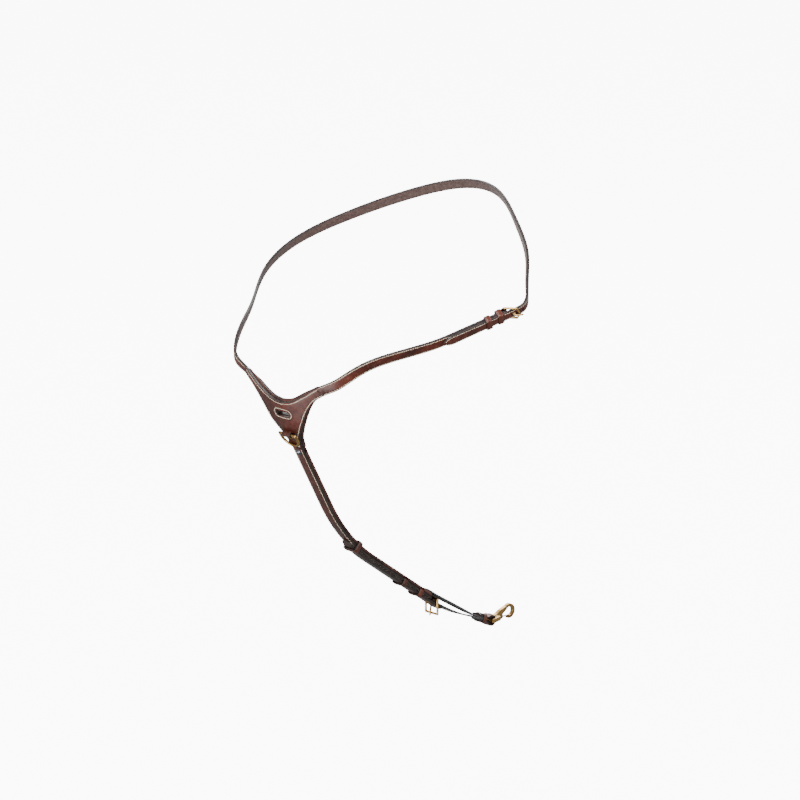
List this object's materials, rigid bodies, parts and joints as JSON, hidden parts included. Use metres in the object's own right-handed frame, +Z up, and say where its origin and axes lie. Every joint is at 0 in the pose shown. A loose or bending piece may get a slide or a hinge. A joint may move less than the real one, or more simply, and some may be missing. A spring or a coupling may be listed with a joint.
{
  "type": "martingale",
  "caption": "Leather martingale with a buckled neck strap, shaped chest yoke, padded stem, elastic girth end and a brass snap hook.",
  "frame": {"origin": "inner face of the neck strap where it rests over the withers", "axes": "+X towards the buckle side, +Y from the chest back to the girth, +Z up, hung as worn"},
  "size_m": [0.4306, 0.4092, 0.5886],
  "materials": {
    "bridle_leather": "polished dark brown bridle leather with black edges",
    "lining_leather": "soft black-brown lining",
    "brass": "polished, lightly handled",
    "nickel": "polished nickel silver",
    "elastic_web": "ribbed black webbing",
    "spring_steel": "plain"
  },
  "bodies": {
    "harness": {"yoke_front": "bridle_leather", "neck_strap": "bridle_leather", "neck_buckle_strap": "bridle_leather", "neck_chape": "bridle_leather", "neck_fixed_keeper": "bridle_leather", "dee_chape": "bridle_leather", "stem_strap": "bridle_leather", "girth_billet": "bridle_leather", "girth_middle_keeper": "bridle_leather", "girth_lower_keeper": "bridle_leather", "girth_chape": "bridle_leather", "snap_tab": "bridle_leather", "tab_keeper": "bridle_leather", "yoke_lining": "lining_leather", "stem_lining": "lining_leather", "stud_head": "nickel", "stud_post": "nickel", "stud_washer": "nickel", "upper_elastic": "elastic_web", "lower_elastic": "elastic_web"},
    "dee": {"dee_ring": "brass"},
    "neck_buckle": {"neck_buckle_frame": "brass"},
    "neck_tongue": {"neck_buckle_tongue": "brass"},
    "neck_keeper": {"neck_sliding_keeper": "bridle_leather"},
    "girth_keeper": {"girth_sliding_keeper": "bridle_leather"},
    "girth_buckle": {"girth_buckle_frame": "brass"},
    "girth_tongue": {"girth_buckle_tongue": "brass"},
    "snap": {"snap_hook": "brass", "gate_pin": "brass", "gate_spring": "spring_steel"},
    "gate": {"snap_gate": "brass"}
  },
  "joints": [
    {"name": "dee_swing", "type": "hinge", "parent": "harness", "child": "dee", "pos_m": [0, -0.33401, -0.25922], "axis": [-1, 0, 0], "range_deg": [0, 150]},
    {"name": "neck_buckle_swing", "type": "hinge", "parent": "harness", "child": "neck_buckle", "pos_m": [0.19992, -0.14996, -0.09645], "axis": [-0.3696, 0.4466, -0.8148], "range_deg": [0, 7]},
    {"name": "neck_tongue_swing", "type": "hinge", "parent": "harness", "child": "neck_tongue", "pos_m": [0.19992, -0.14996, -0.09645], "axis": [-0.3696, 0.4466, -0.8148], "range_deg": [0, 7]},
    {"name": "neck_keeper_slide", "type": "slide", "parent": "harness", "child": "neck_keeper", "axis": [0.3629, 0.8767, 0.3159], "range_m": [-0.022, 0.007]},
    {"name": "girth_keeper_travel", "type": "hinge", "parent": "harness", "child": "girth_keeper", "pos_m": [0, -0.05105, -0.24598], "axis": [1, 0, 0], "range_deg": [-12, 6.5]},
    {"name": "girth_buckle_swing", "type": "hinge", "parent": "harness", "child": "girth_buckle", "pos_m": [0, -0.08256, -0.52435], "axis": [1, 0, 0], "range_deg": [0, 20]},
    {"name": "girth_tongue_swing", "type": "hinge", "parent": "harness", "child": "girth_tongue", "pos_m": [0, -0.08256, -0.52435], "axis": [-1, 0, 0], "range_deg": [0, 6]},
    {"name": "snap_swing", "type": "hinge", "parent": "harness", "child": "snap", "pos_m": [0, 0.01715, -0.57285], "axis": [1, 0, 0], "range_deg": [-50, 50]},
    {"name": "snap_gate_open", "type": "hinge", "parent": "snap", "child": "gate", "pos_m": [0, 0.03796, -0.57332], "axis": [1, 0, 0], "range_deg": [0, 28], "stiffness_Nm_per_rad": 0.02, "springref_deg": -20.05}
  ],
  "couplings": [
    {"joint": "neck_tongue_swing", "follows": "neck_buckle_swing", "ratio": 1}
  ]
}
